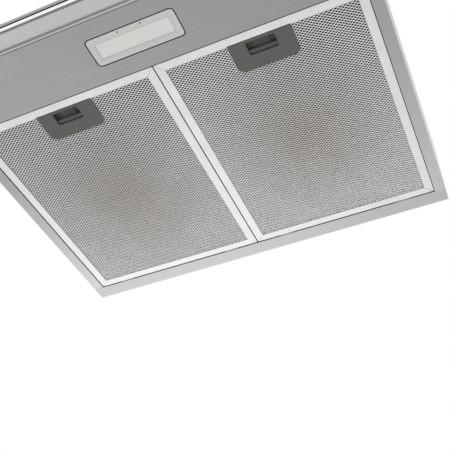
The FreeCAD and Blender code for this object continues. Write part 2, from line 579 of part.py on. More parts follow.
# ---------------------------------------------------------------- controls
def make_controls():
    x0, x1 = FAN_X - 16, LIGHT_X + LIGHT_TRAVEL + 16
    bezel = block(x0, x1, FRONT - BEZEL_THICK, FRONT, SWITCH_Z - 9, SWITCH_Z + 9)
    switch_front = RAIL_FRONT + SHEET
    stem_end = switch_front + STEM_DEPTH
    body = block(x0 + 4, x1 - 4, switch_front, switch_front + 20, SWITCH_Z - 11, SWITCH_Z + 11)
    save("control_bezel", slider_slots(bezel, FRONT - KNOB_REACH, FRONT + 1))
    save("switch_block", slider_slots(body, switch_front - 1, stem_end + 1))
    for name, x in (("fan", FAN_X), ("light", LIGHT_X)):
        cap_rear = FRONT - BEZEL_THICK - 0.3
        cap = block(x - KNOB_WIDTH / 2, x + KNOB_WIDTH / 2, FRONT - KNOB_REACH, cap_rear,
                    SWITCH_Z - KNOB_HEIGHT / 2, SWITCH_Z + KNOB_HEIGHT / 2)
        stem = block(x - KNOB_STEM / 2, x + KNOB_STEM / 2, cap_rear, stem_end,
                     SWITCH_Z - KNOB_STEM / 2, SWITCH_Z + KNOB_STEM / 2)
        save(name + "_slider", cap.fuse(stem).removeSplitter())


# ---------------------------------------------------------------- electrics
def make_electrics():
    y = REAR - GLAND_BACK
    box_low, box_x = UNDER_TOP - 34, GLAND_X
    box = block(box_x - 45, box_x + 45, y - 30, y + 30, box_low, UNDER_TOP)
    hollow = block(box_x - 43, box_x + 43, y - 28, y + 28, box_low + 2, UNDER_TOP + 1)
    save("junction_box", box.cut(hollow))
    terminal = block(box_x - 25, box_x + 25, y - 8, y + 8, box_low + 2, box_low + 16)
    save("terminal_block", terminal)
    capacitor = rod(14.0, (box_x - 45 - 14.5, y - 25, UNDER_TOP - 14.2), (0, 1, 0), 50)
    clip = block(box_x - 45 - 14.5 - 6, box_x - 45 - 14.5 + 6, y - 4, y + 4, UNDER_TOP - 0.9, UNDER_TOP)
    save("capacitor", capacitor.fuse(clip))
    gland = rod(GLAND_RADIUS, (GLAND_X, y, UNDER_TOP - 4), (0, 0, 1), SHEET + 4)
    gland = gland.fuse(rod(GLAND_RADIUS + 3, (GLAND_X, y, TOP), (0, 0, 1), 4))
    gland = gland.fuse(rod(GLAND_RADIUS, (GLAND_X, y, TOP + 4), (0, 0, 1), 8))
    save("cable_gland", gland.cut(rod(3.6, (GLAND_X, y, UNDER_TOP - 6), (0, 0, 1), 30)).removeSplitter())


def main():
    os.makedirs("parts", exist_ok=True)
    make_top_panel()
    make_rear_panel()
    for name, side in SIDES.items():
        make_side_panel(name, side)
    make_light_panel()
    make_front_rail()
    make_front_fascia()
    make_trim_strip()
    make_top_ledge()
    make_centre_support()
    make_lamp()
    for name, side in SIDES.items():
        make_filter_frame(name, side)
        make_filter_layers(name, side)
        make_handle(name, side)
        make_latch(name, side)
        make_latch_spring(name, side)
    make_scroll()
    make_impeller()
    make_motor()
    make_spigot()
    make_flaps()
    make_collar_screws()
    make_controls()
    make_electrics()


main()
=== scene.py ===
import json
import math

import bmesh
import bpy
from mathutils import Matrix, Vector


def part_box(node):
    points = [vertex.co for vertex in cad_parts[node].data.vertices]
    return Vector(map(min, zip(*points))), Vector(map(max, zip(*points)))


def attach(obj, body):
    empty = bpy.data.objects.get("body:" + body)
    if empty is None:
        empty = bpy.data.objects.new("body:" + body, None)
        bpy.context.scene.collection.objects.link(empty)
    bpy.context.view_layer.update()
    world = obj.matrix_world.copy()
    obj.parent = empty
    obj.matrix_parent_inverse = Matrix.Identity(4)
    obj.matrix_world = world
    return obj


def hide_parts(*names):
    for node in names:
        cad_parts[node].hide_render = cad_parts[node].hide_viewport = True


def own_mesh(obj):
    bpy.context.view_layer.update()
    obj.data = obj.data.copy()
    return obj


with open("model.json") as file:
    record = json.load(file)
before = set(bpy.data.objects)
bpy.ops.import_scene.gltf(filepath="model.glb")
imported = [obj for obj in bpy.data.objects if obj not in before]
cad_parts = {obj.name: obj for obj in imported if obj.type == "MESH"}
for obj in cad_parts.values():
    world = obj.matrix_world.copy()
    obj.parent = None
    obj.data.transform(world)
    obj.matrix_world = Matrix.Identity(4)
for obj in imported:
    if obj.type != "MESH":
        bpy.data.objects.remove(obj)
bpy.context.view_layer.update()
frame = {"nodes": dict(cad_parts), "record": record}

# ------------------------------------------------------------------ casing panels
# The casing is folded from 1 mm stainless sheet, brushed along its length, and spot welded at the corners:
# two sides with a narrow strip along the underside, a rear panel with the rear strip, a top and a ledge.

MM = 0.001


def node(tree, kind, values=None, **settings):
    """A shader node with its settings and its unlinked input values."""
    made = tree.nodes.new(kind)
    for key, value in settings.items():
        setattr(made, key, value)
    for key, value in (values or {}).items():
        made.inputs[key].default_value = value
    return made


def wire(tree, source, output, target, socket):
    tree.links.new(source.outputs[output], target.inputs[socket])


def ramp(tree, stops):
    """A value to value ramp through (position, value) stops."""
    made = tree.nodes.new("ShaderNodeValToRGB")
    points = made.color_ramp.elements
    while len(points) < len(stops):
        points.new(0.5)
    for point, (position, value) in zip(points, stops):
        point.position = position
        point.color = (value, value, value, 1)
    return made


def scale_range(tree, low, high):
    return node(tree, "ShaderNodeMapRange", {"To Min": low, "To Max": high})


def fade_range(tree, start, end, first, last):
    """One factor up to start, another from end on, and an even change between them."""
    return node(tree, "ShaderNodeMapRange",
                {"From Min": start, "From Max": end, "To Min": first, "To Max": last})


def factor_along(tree, axis, start, end, first, last):
    """A factor that changes between two places along one of the object's axes."""
    place = tree.nodes.new("ShaderNodeTexCoord")
    split = tree.nodes.new("ShaderNodeSeparateXYZ")
    factor = fade_range(tree, start, end, first, last)
    wire(tree, place, "Object", split, "Vector")
    wire(tree, split, axis, factor, "Value")
    return factor.outputs["Result"]


def new_material(name, metallic):
    """An empty material, its node tree and its shader."""
    material = bpy.data.materials.new(name)
    material.use_nodes = True
    shader = material.node_tree.nodes["Principled BSDF"]
    shader.inputs["Metallic"].default_value = metallic
    return material, material.node_tree, shader


def multiply_base(material, factor):
    """Multiply a material's base colour by what a socket gives."""
    tree = material.node_tree
    shader = tree.nodes["Principled BSDF"]
    base = shader.inputs["Base Color"].links[0].from_socket
    mixed = node(tree, "ShaderNodeMix", {"Factor": 1.0}, data_type="RGBA", blend_type="MULTIPLY")
    tree.links.new(base, mixed.inputs["A"])
    tree.links.new(factor, mixed.inputs["B"])
    tree.links.new(mixed.outputs["Result"], shader.inputs["Base Color"])


def brushed_group():
    """Brush marks: long fine scratches along the vector's X, with slow patches of handling haze."""
    group = bpy.data.node_groups.new("brush_marks", "ShaderNodeTree")
    face = group.interface
    face.new_socket("Vector", in_out="INPUT", socket_type="NodeSocketVector")
    for name in ("Marks", "Haze"):
        face.new_socket(name, in_out="OUTPUT", socket_type="NodeSocketFloat")
    inside = group.nodes.new("NodeGroupInput")
    outside = group.nodes.new("NodeGroupOutput")
    fine_map = node(group, "ShaderNodeMapping", {"Scale": (14, 2600, 2600)})
    coarse_map = node(group, "ShaderNodeMapping", {"Scale": (5, 480, 480)})
    fine = node(group, "ShaderNodeTexNoise", {"Scale": 1.0, "Detail": 3.0, "Roughness": 0.6})
    coarse = node(group, "ShaderNodeTexNoise", {"Scale": 1.0, "Detail": 4.0, "Roughness": 0.65})
    haze = node(group, "ShaderNodeTexNoise", {"Scale": 7.0, "Detail": 3.0, "Roughness": 0.5})
    blend = node(group, "ShaderNodeMix", {"Factor": 0.45}, data_type="FLOAT")
    wire(group, inside, "Vector", fine_map, "Vector")
    wire(group, inside, "Vector", coarse_map, "Vector")
    wire(group, inside, "Vector", haze, "Vector")
    wire(group, fine_map, "Vector", fine, "Vector")
    wire(group, coarse_map, "Vector", coarse, "Vector")
    group.links.new(fine.outputs["Fac"], blend.inputs["A"])
    group.links.new(coarse.outputs["Fac"], blend.inputs["B"])
    group.links.new(blend.outputs["Result"], outside.inputs["Marks"])
    group.links.new(haze.outputs["Fac"], outside.inputs["Haze"])
    return group


BRUSH_MARKS = brushed_group()


def brushed_metal(name, tone, spread=0.05, rough=(0.3, 0.42), turn=0.0, fade=None):
    """Brushed sheet metal. turn swings the grain from X towards Y, in degrees.

    fade paints light and shade onto the tone along one axis: axis, start, end, and the tone's factor at each.
    """
    material, tree, shader = new_material(name, 1.0)
    place = tree.nodes.new("ShaderNodeTexCoord")
    grain = node(tree, "ShaderNodeMapping", {"Rotation": (0, 0, math.radians(-turn))})
    marks = node(tree, "ShaderNodeGroup", node_tree=BRUSH_MARKS)
    shade = scale_range(tree, tone - spread, tone + spread)
    patch = scale_range(tree, 1 - spread * 0.6, 1 + spread * 0.6)
    product = node(tree, "ShaderNodeMath", operation="MULTIPLY")
    roughness = scale_range(tree, *rough)
    bump = node(tree, "ShaderNodeBump", {"Strength": 1.0, "Distance": 0.000012})
    wire(tree, place, "Object", grain, "Vector")
    wire(tree, grain, "Vector", marks, "Vector")
    wire(tree, marks, "Marks", shade, "Value")
    wire(tree, marks, "Haze", patch, "Value")
    tree.links.new(shade.outputs["Result"], product.inputs[0])
    tree.links.new(patch.outputs["Result"], product.inputs[1])
    wire(tree, product, "Value", shader, "Base Color")
    if fade:
        multiply_base(material, factor_along(tree, *fade))
    wire(tree, marks, "Haze", roughness, "Value")
    wire(tree, roughness, "Result", shader, "Roughness")
    wire(tree, marks, "Marks", bump, "Height")
    wire(tree, bump, "Normal", shader, "Normal")
    return material


def true_normals(bm, blend=50):
    """One normal per face corner: flat faces stay flat, and only the small rounds shade smoothly."""
    limit = math.cos(math.radians(blend))
    weight = {face: face.normal * face.calc_area() for face in bm.faces}
    normals = []
    for face in bm.faces:
        for vert in face.verts:
            total = Vector((0, 0, 0))
            for other in vert.link_faces:
                if face.normal.dot(other.normal) > limit:
                    total += weight[other]
            normals.append(total.normalized() if total.length > 0 else face.normal.copy())
    return normals


def finish_piece(name, bm, body, slot, material, *replaced):
    """Close a bmesh into an object that rides on a body and stands for CAD nodes."""
    bmesh.ops.recalc_face_normals(bm, faces=bm.faces)
    bm.normal_update()
    normals = true_normals(bm)
    mesh = bpy.data.meshes.new(name)
    bm.to_mesh(mesh)
    bm.free()
    mesh.materials.append(material)
    mesh.shade_smooth()
    mesh.normals_split_custom_set(normals)
    piece = bpy.data.objects.new(name, mesh)
    bpy.context.scene.collection.objects.link(piece)
    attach(piece, body)
    if replaced:
        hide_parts(*replaced)
    return piece


SLOT_OF = {entry["node"]: entry["material_slot"] for entry in frame["record"]["subparts"]}
BODY_OF = {name: body for body, names in frame["record"]["behaviour"]["bodies"].items() for name in names}


def node_mesh(name):
    """The CAD node's shape as a bmesh of whole flat faces."""
    bm = bmesh.new()
    bm.from_mesh(frame["nodes"][name].data)
    bmesh.ops.remove_doubles(bm, verts=bm.verts, dist=2e-6)
    bmesh.ops.dissolve_limit(bm, angle_limit=math.radians(0.6), verts=bm.verts, edges=bm.edges)
    return bm


def soften(bm, width, sharper=38, segments=2):
    """Break every sharp edge with a small round."""
    sharp = [e for e in bm.edges if len(e.link_faces) == 2 and e.calc_face_angle(0) > math.radians(sharper)]
    bmesh.ops.bevel(bm, geom=sharp, offset=width, offset_type="OFFSET", segments=segments, profile=0.5,
                    affect="EDGES", clamp_overlap=True, material=-1)


def softened(name, width, material, sharper=38, segments=2):
    """A CAD node made again with broken edges, in its place."""
    bm = node_mesh(name)
    soften(bm, width, sharper, segments)
    return finish_piece(name + "_finished", bm, BODY_OF[name], SLOT_OF[name], material, name)


# Painted light: every panel is the same sheet steel, its tone scaled per panel for how light falls on it. The
# sides are painted lighter towards the rear.
SHEET_TONE = 0.42
panel_steel = brushed_metal("panel_steel", SHEET_TONE)
side_steel = brushed_metal("side_steel", SHEET_TONE * 1.1, turn=90, fade=("Y", -0.1, 0.25, 0.9, 1.3))
rear_steel = brushed_metal("rear_steel", SHEET_TONE * 1.25)

for side in ("left", "right"):
    softened("side_panel_" + side, 0.25 * MM, side_steel)
softened("rear_panel", 0.25 * MM, rear_steel)
softened("top_panel", 0.2 * MM, panel_steel)
# Painted shade: the ledge is a darker copy of the sheet steel, with a painted shadow line along its lower edge.
ledge_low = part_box("top_ledge")[0]
ledge_steel = brushed_metal("ledge_steel", SHEET_TONE * 0.8,
                            fade=("Z", ledge_low.z + 0.2 * MM, ledge_low.z + 1.2 * MM, 0.12, 1.0))
softened("top_ledge", 0.25 * MM, ledge_steel)

# ------------------------------------------------------------------ light panel and fascia
# One brushed sheet carries the lamp behind a hemmed seam, and the fascia bends up from that seam to the
# shadow groove. A bright extruded trim strip closes the groove under the ledge.

# Painted light: the light panel, fascia and rail are the same sheet steel at tones set for how light falls on
# each, and the light panel is painted lighter towards its left end than its right.
front_steel = brushed_metal("front_steel", SHEET_TONE * 0.93, spread=0.08,
                            fade=("X", -0.25, 0.25, 1.09, 0.92))
fascia_steel = brushed_metal("fascia_steel", SHEET_TONE * 1.15)
rail_steel = brushed_metal("rail_steel", SHEET_TONE * 1.3)
bright_trim = brushed_metal("bright_trim", 0.9, spread=0.03, rough=(0.18, 0.26))

softened("light_panel", 0.25 * MM, front_steel)
softened("front_rail", 0.25 * MM, rail_steel)
softened("front_fascia", 0.2 * MM, fascia_steel)
softened("trim_strip", 0.5 * MM, bright_trim, segments=3)

# ------------------------------------------------------------------ lamp
# A moulded bezel clips up into the light panel. Its frosted lens hides a row of light-emitting diodes on a
# white board, under a cover; the driver sits beside it on the panel.


def moulded_group():
    """Fine spark-eroded mould texture, with slow tone patches."""
    group = bpy.data.node_groups.new("mould_texture", "ShaderNodeTree")
    face = group.interface
    face.new_socket("Vector", in_out="INPUT", socket_type="NodeSocketVector")
    for name in ("Grain", "Patches"):
        face.new_socket(name, in_out="OUTPUT", socket_type="NodeSocketFloat")
    inside = group.nodes.new("NodeGroupInput")
    outside = group.nodes.new("NodeGroupOutput")
    grain = node(group, "ShaderNodeTexNoise", {"Scale": 3200.0, "Detail": 2.0, "Roughness": 0.6})
    patches = node(group, "ShaderNodeTexNoise", {"Scale": 28.0, "Detail": 3.0, "Roughness": 0.55})
    wire(group, inside, "Vector", grain, "Vector")
    wire(group, inside, "Vector", patches, "Vector")
    wire(group, grain, "Fac", outside, "Grain")
    wire(group, patches, "Fac", outside, "Patches")
    return group


MOULD_TEXTURE = moulded_group()


def moulded(name, colour, spread=0.06, rough=(0.45, 0.6), depth=0.00002, coat=0.0):
    """Moulded or painted surface with a fine grain."""
    material, tree, shader = new_material(name, 0.0)
    shader.inputs["Coat Weight"].default_value = coat
    place = tree.nodes.new("ShaderNodeTexCoord")
    skin = node(tree, "ShaderNodeGroup", node_tree=MOULD_TEXTURE)
    dark = (*[c * (1 - spread) for c in colour], 1)
    light = (*[min(1.0, c * (1 + spread)) for c in colour], 1)
    tone = node(tree, "ShaderNodeMix", {"A": dark, "B": light}, data_type="RGBA")
    roughness = scale_range(tree, *rough)
    bump = node(tree, "ShaderNodeBump", {"Strength": 1.0, "Distance": depth})
    wire(tree, place, "Object", skin, "Vector")
    wire(tree, skin, "Patches", tone, "Factor")
    tree.links.new(tone.outputs["Result"], shader.inputs["Base Color"])
    wire(tree, skin, "Grain", roughness, "Value")
    wire(tree, roughness, "Result", shader, "Roughness")
    wire(tree, skin, "Grain", bump, "Height")
    wire(tree, bump, "Normal", shader, "Normal")
    return material


def darker_inside(material, start, end, darkest):
    """The material with its colour falling to a share of itself between two heights, where shade gathers."""
    multiply_base(material, factor_along(material.node_tree, "Z", start, end, 1.0, darkest))
    return material


def frosted_lens():
    """Opal diffuser with rows of tiny moulded lenticles."""
    material = moulded("frosted_lens", (0.72, 0.725, 0.69), spread=0.03, rough=(0.3, 0.4), depth=0.00008)
    tree = material.node_tree
    shader = tree.nodes["Principled BSDF"]
    place = tree.nodes.new("ShaderNodeTexCoord")
    cells = node(tree, "ShaderNodeTexVoronoi", {"Scale": 700.0, "Randomness": 0.0})
    bump = shader.inputs["Normal"].links[0].from_node
    bump.inputs["Strength"].default_value = 0.6
    wire(tree, place, "Object", cells, "Vector")
    wire(tree, cells, "Distance", bump, "Height")
    shader.inputs["Subsurface Weight"].default_value = 0.3
    shader.inputs["Subsurface Radius"].default_value = (0.002, 0.002, 0.002)
    return material


LAMP_WHITE = (0.6, 0.6, 0.585)
lamp_white = moulded("lamp_white", LAMP_WHITE, spread=0.03, rough=(0.32, 0.42))
# Painted shade: the bezel's colour falls almost to black above the panel's face, in the gap round the lamp.
bezel_white = darker_inside(moulded("bezel_white", LAMP_WHITE, spread=0.03, rough=(0.32, 0.42)),
                            0.55 * MM, 0.75 * MM, 0.03)
black_plastic = moulded("black_plastic", (0.035, 0.035, 0.036), spread=0.15, rough=(0.4, 0.55))
board_white = moulded("board_white", (0.75, 0.76, 0.74), spread=0.03, rough=(0.3, 0.4), coat=0.3)

softened("lamp_bezel", 0.2 * MM, bezel_white)
softened("lamp_lens", 0.3 * MM, frosted_lens())
softened("lamp_cover", 0.4 * MM, lamp_white)
softened("led_board", 0.1 * MM, board_white)
softened("led_driver", 0.8 * MM, black_plastic, segments=3)

# ------------------------------------------------------------------ grease filters
# Each filter is a mitred frame of folded aluminium round a cassette of expanded aluminium sheet: a coarse
# outer sheet, crumpled inner layers and a back sheet. It hooks over the rear strip and latches at the front.


def bare_aluminium(name, tone, rough, spread=0.05, grain=900.0, depth=0.00002):
    """Mill-finish aluminium with fine mottling."""
    material, tree, shader = new_material(name, 1.0)
    place = tree.nodes.new("ShaderNodeTexCoord")
    fine = node(tree, "ShaderNodeTexNoise", {"Scale": grain, "Detail": 4.0, "Roughness": 0.7})
    slow = node(tree, "ShaderNodeTexNoise", {"Scale": 22.0, "Detail": 4.0, "Roughness": 0.6})
    blend = node(tree, "ShaderNodeMix", {"Factor": 0.5}, data_type="FLOAT")
    tone_map = ramp(tree, [(0.3, tone - spread), (0.7, min(0.97, tone + spread))])
    roughness = scale_range(tree, *rough)
    bump = node(tree, "ShaderNodeBump", {"Strength": 1.0, "Distance": depth})
    wire(tree, place, "Object", fine, "Vector")
    wire(tree, place, "Object", slow, "Vector")
    tree.links.new(fine.outputs["Fac"], blend.inputs["A"])
    tree.links.new(slow.outputs["Fac"], blend.inputs["B"])
    tree.links.new(blend.outputs["Result"], tone_map.inputs["Fac"])
    wire(tree, tone_map, "Color", shader, "Base Color")
    wire(tree, slow, "Fac", roughness, "Value")
    wire(tree, roughness, "Result", shader, "Roughness")
    wire(tree, fine, "Fac", bump, "Height")
    wire(tree, bump, "Normal", shader, "Normal")
    return material


frame_aluminium = bare_aluminium("frame_aluminium", 0.81, (0.36, 0.5), spread=0.09)


def stain_and_light_group():
    """A soft warm grease stain over the middle of a filter, and painted light: a slow change of tone, darker at
    its front and lighter at its rear.
    """
    group = bpy.data.node_groups.new("grease_stain_and_light", "ShaderNodeTree")
    face = group.interface
    face.new_socket("Place", in_out="INPUT", socket_type="NodeSocketVector")
    face.new_socket("StainAndLight", in_out="OUTPUT", socket_type="NodeSocketColor")
    inside = group.nodes.new("NodeGroupInput")
    outside = group.nodes.new("NodeGroupOutput")
    ball = node(group, "ShaderNodeTexGradient", gradient_type="SPHERICAL")
    warm = node(group, "ShaderNodeMix", {"A": (1, 1, 1, 1), "B": (0.78, 0.745, 0.7, 1)}, data_type="RGBA")
    split = group.nodes.new("ShaderNodeSeparateXYZ")
    # Painted light: the filter's tone rises from its front to its rear.
    run = fade_range(group, -1.0, 1.0, 0.95, 1.15)
    both = node(group, "ShaderNodeMix", {"Factor": 1.0}, data_type="RGBA", blend_type="MULTIPLY")
    wire(group, inside, "Place", ball, "Vector")
    wire(group, inside, "Place", split, "Vector")
    wire(group, ball, "Fac", warm, "Factor")
    wire(group, split, "Y", run, "Value")
    group.links.new(warm.outputs["Result"], both.inputs["A"])
    group.links.new(run.outputs["Result"], both.inputs["B"])
    group.links.new(both.outputs["Result"], outside.inputs["StainAndLight"])
    return group


STAIN_AND_LIGHT = stain_and_light_group()


def stained_and_lit(material, side):
    """The material with its base colour multiplied by the filter's grease stain and by its painted light,
    darker at the front and lighter at the rear.
    """
    tree = material.node_tree
    low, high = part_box("filter_pad_" + side)
    middle, half = (low + high) / 2, (high - low) / 2
    place = tree.nodes.new("ShaderNodeTexCoord")
    centred = node(tree, "ShaderNodeMapping", {"Location": (-middle.x / half.x, -middle.y / half.y, 0),
                                               "Scale": (1 / half.x, 1 / half.y, 0)})
    stain_and_light = node(tree, "ShaderNodeGroup", node_tree=STAIN_AND_LIGHT)
    wire(tree, place, "Object", centred, "Vector")
    wire(tree, centred, "Vector", stain_and_light, "Place")
    multiply_base(material, stain_and_light.outputs["StainAndLight"])
    return material


def strand_metal(side, tone):
    """Expanded strands: bright on their rolled faces, darkened down the walls of the holes as painted shade."""
    material = bare_aluminium("strand_aluminium_" + side, tone, (0.26, 0.42), spread=0.07, grain=700.0)
    face_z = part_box("filter_mesh_" + side)[0].z
    return darker_inside(stained_and_lit(material, side), face_z + 0.3 * MM, face_z + 0.6 * MM, 0.03)


FRAME_BORDER = 12 * MM
FRAME_SHEET = 0.8 * MM
FRAME_ROLL = 0.7 * MM       # break along the frame's outer edges
MITRE_GAP = 0.22 * MM       # half the line that shows at each mitre
FRAME_SETBACK = 0.9 * MM    # front edge back from the light panel's hem
HOOK_LENGTH = 6 * MM        # rear tabs that tuck over the rear strip
HOOK_HALF_WIDTH = 10 * MM
HOOK_SHEET = 1.5 * MM
HOOK_RAISE = 0.3 * MM       # hook's underside above the frame's
HOOK_LAP = 0.4 * MM         # how far a hook runs into the frame
HOLE_PITCH_X = 6.06 * MM
HOLE_PITCH_Y = 4.26 * MM


def mitred_side(bm, start, run, inward, length, low, high):
    """One side of the frame: a C channel, open to the middle, between two mitred corners.

    run and inward are unit vectors, and the side starts at the frame's corner.
    """
    nick = FRAME_ROLL * 0.3
    profile = [
        (FRAME_BORDER, low), (FRAME_ROLL, low), (nick, low + nick), (0, low + FRAME_ROLL),
        (0, high - FRAME_ROLL), (nick, high - nick), (FRAME_ROLL, high), (FRAME_BORDER, high),
        (FRAME_BORDER, high - FRAME_SHEET), (FRAME_SHEET, high - FRAME_SHEET),
        (FRAME_SHEET, low + FRAME_SHEET), (FRAME_BORDER, low + FRAME_SHEET),
    ]
    near_end = bm.faces.new([
        bm.verts.new(start + (run + inward) * depth + run * MITRE_GAP + Vector((0, 0, height)))
        for depth, height in profile])
    extrusion = bmesh.ops.extrude_face_region(bm, geom=[near_end], use_keep_orig=True)["geom"]
    for point in extrusion:
        if isinstance(point, bmesh.types.BMVert):
            depth = (point.co - start).dot(inward)
            point.co += run * (length - 2 * (depth + MITRE_GAP))


def add_box(bm, low, high):
    """A closed box between two corners; returns its corner points."""
    made = bmesh.ops.create_cube(bm, size=1.0)["verts"]
    low, high = Vector(low), Vector(high)
    bmesh.ops.scale(bm, vec=high - low, verts=made)
    bmesh.ops.translate(bm, vec=(low + high) / 2, verts=made)
    return made


def filter_frame(side):
    """Four folded sides with mitred corners, and the two rear hooks."""
    name = "filter_frame_" + side
    low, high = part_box(name)
    front, rear = low.y + FRAME_SETBACK, high.y - HOOK_LENGTH
    corner = [Vector((low.x, front, 0)), Vector((high.x, front, 0)), Vector((high.x, rear, 0)),
              Vector((low.x, rear, 0))]
    bm = bmesh.new()
    for i in range(4):
        start, end = corner[i], corner[(i + 1) % 4]
        run = (end - start).normalized()
        inward = Vector((-run.y, run.x, 0))
        mitred_side(bm, start, run, inward, (end - start).length, low.z, high.z)
    middle = (low.x + high.x) / 2
    third = (high.x - low.x) / 3
    for centre in (middle - third, middle + third):
        hook = add_box(bm, (centre - HOOK_HALF_WIDTH, rear - HOOK_LAP, low.z + HOOK_RAISE),
                       (centre + HOOK_HALF_WIDTH, high.y, low.z + HOOK_RAISE + HOOK_SHEET))
        edges = {e for v in hook for e in v.link_edges}
        bmesh.ops.bevel(bm, geom=list(edges), offset=0.3 * MM, segments=2, profile=0.5, affect="EDGES")
    return finish_piece("folded_frame_" + side, bm, "filter_" + side, "filter_aluminium", frame_aluminium,
                        name)


LATTICE_DEPTH = 0.75 * MM
WALL_SHARE = 0.4            # part of the lattice's depth that the walls of its holes take


def open_edges(bm):
    return [edge for edge in bm.edges if edge.is_boundary]


def expanded_sheet(name, side, replaced, metal, pitch_x, pitch_y, tilt, hole, keep_out=None):
    """Expanded sheet: a lattice of diamond holes whose strands are tilted ridges.

    pitch_x and pitch_y are a diamond's diagonals, and hole is the share of them that is open. tilt leans each
    strand, and keep_out is a rectangle left without sheet: its X from and to, then its Y from and to.
    """
    low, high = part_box(replaced)
    x0, x1, y0, y1 = low.x, high.x, low.y, high.y
    centre = Vector(((x0 + x1) / 2, (y0 + y1) / 2, 0))
    half_columns = int((x1 - x0) / pitch_x / 2) + 1
    half_rows = int((y1 - y0) / pitch_y) + 1
    bm = bmesh.new()
    knots = {}

    def knot(i, j, level):
        key = (i, j, level)
        if key not in knots:
            z = low.z if level == 0 else low.z + LATTICE_DEPTH
            knots[key] = bm.verts.new((centre.x + i * pitch_x / 2, centre.y + j * pitch_y / 2, z))
        return knots[key]

    for j in range(-half_rows, half_rows + 1):
        for k in range(-half_columns, half_columns + 1):
            i = 2 * k + (j % 2)
            cx, cy = centre.x + i * pitch_x / 2, centre.y + j * pitch_y / 2
            if not (x0 + pitch_x / 2 < cx < x1 - pitch_x / 2 and y0 + pitch_y / 2 < cy < y1 - pitch_y / 2):
                continue
            if keep_out and keep_out[0] < cx < keep_out[1] and keep_out[2] < cy < keep_out[3]:
                continue
            corners = ((i + 1, j), (i, j + 1), (i - 1, j), (i, j - 1))
            reach = ((pitch_x / 2 * hole, 0), (0, pitch_y / 2 * hole), (-pitch_x / 2 * hole, 0),
                     (0, -pitch_y / 2 * hole))
            lift = (0.5, 0.5 + tilt, 0.5, 0.5 - tilt)
            near, far = [], []
            for (dx, dy), rise in zip(reach, lift):
                lower = rise * (1 - WALL_SHARE)
                near.append(bm.verts.new((cx + dx, cy + dy, low.z + LATTICE_DEPTH * lower)))
                far.append(bm.verts.new((cx + dx, cy + dy, low.z + LATTICE_DEPTH * (WALL_SHARE + lower))))
            for a in range(4):
                b = (a + 1) % 4
                bm.faces.new((knot(*corners[a], 0), near[a], near[b], knot(*corners[b], 0)))
                bm.faces.new((knot(*corners[b], 1), far[b], far[a], knot(*corners[a], 1)))
                bm.faces.new((near[a], far[a], far[b], near[b]))
    # walls round the sheet's outline and the handle's cut-out
    lower_place = {vert: (i, j) for (i, j, level), vert in knots.items() if level == 0}
    for edge in open_edges(bm):
        a, b = edge.verts
        if a in lower_place and b in lower_place:
            bm.faces.new((a, b, knot(*lower_place[b], 1), knot(*lower_place[a], 1)))
    return finish_piece(name, bm, "filter_" + side, "filter_aluminium", metal, replaced)


def crumpled_layers(side):
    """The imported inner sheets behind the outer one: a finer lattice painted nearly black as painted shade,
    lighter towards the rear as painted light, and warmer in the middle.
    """
    material, tree, shader = new_material("crumpled_layers_" + side, 0.0)
    shader.inputs["Specular IOR Level"].default_value = 0.1
    shader.inputs["Roughness"].default_value = 0.7
    place = tree.nodes.new("ShaderNodeTexCoord")
    warp = node(tree, "ShaderNodeTexNoise", {"Scale": 60.0, "Detail": 2.0})
    warped = node(tree, "ShaderNodeMix", {"Factor": 0.012}, data_type="RGBA", blend_type="LINEAR_LIGHT")
    squeeze = node(tree, "ShaderNodeMapping", {"Scale": (165, 240, 60), "Rotation": (0, 0, math.radians(7))})
    lattice = node(tree, "ShaderNodeTexVoronoi", {"Scale": 1.0, "Randomness": 0.35},
                   feature="DISTANCE_TO_EDGE")
    strands = ramp(tree, [(0.0, 1.0), (0.12, 0.75), (0.3, 0.0)])
    cloud = node(tree, "ShaderNodeTexNoise", {"Scale": 16.0, "Detail": 3.0})
    cloud_map = scale_range(tree, 0.7, 1.3)
    low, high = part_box("filter_pad_" + side)
    # Painted light: the layers are painted lighter from the filter's front to its rear.
    depth = factor_along(tree, "Y", low.y, high.y, 0.15, 8.0)
    # Painted shade: near-black colours stand for the shade deep inside the filter.
    deep = node(tree, "ShaderNodeMix", {"A": (0.01, 0.01, 0.0095, 1), "B": (0.05, 0.049, 0.047, 1)},
                data_type="RGBA")
    lit = node(tree, "ShaderNodeMath", operation="MULTIPLY")
    bump = node(tree, "ShaderNodeBump", {"Strength": 1.0, "Distance": 0.0005})
    wire(tree, place, "Object", warp, "Vector")
    tree.links.new(place.outputs["Object"], warped.inputs["A"])
    tree.links.new(warp.outputs["Color"], warped.inputs["B"])
    tree.links.new(warped.outputs["Result"], squeeze.inputs["Vector"])
    wire(tree, squeeze, "Vector", lattice, "Vector")
    wire(tree, lattice, "Distance", strands, "Fac")
    wire(tree, strands, "Color", deep, "Factor")
    wire(tree, place, "Object", cloud, "Vector")
    wire(tree, cloud, "Fac", cloud_map, "Value")
    tree.links.new(cloud_map.outputs["Result"], lit.inputs[0])
    tree.links.new(depth, lit.inputs[1])
    tree.links.new(deep.outputs["Result"], shader.inputs["Base Color"])
    multiply_base(material, lit.outputs["Value"])
    wire(tree, strands, "Color", bump, "Height")
    wire(tree, bump, "Normal", shader, "Normal")
    return stained_and_lit(material, side)


# Painted light: the right filter's strands get a lighter tone than the left's, for how light falls on them.
for side, tone in (("left", 0.88), ("right", 0.95)):
    filter_frame(side)
    grip_low, grip_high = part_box("filter_handle_" + side)
    sheet_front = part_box("filter_mesh_" + side)[0].y
    grip = (grip_low.x + HOLE_PITCH_X, grip_high.x - HOLE_PITCH_X, sheet_front, grip_high.y - HOLE_PITCH_Y)
    expanded_sheet("outer_sheet_" + side, side, "filter_mesh_" + side, strand_metal(side, tone),
                   HOLE_PITCH_X, HOLE_PITCH_Y, tilt=0.35, hole=0.81, keep_out=grip)
    expanded_sheet("back_sheet_" + side, side, "filter_back_mesh_" + side, frame_aluminium,
                   2 * HOLE_PITCH_X, 2 * HOLE_PITCH_Y, tilt=0.3, hole=0.7)
    softened("filter_pad_" + side, 0.2 * MM, crumpled_layers(side))
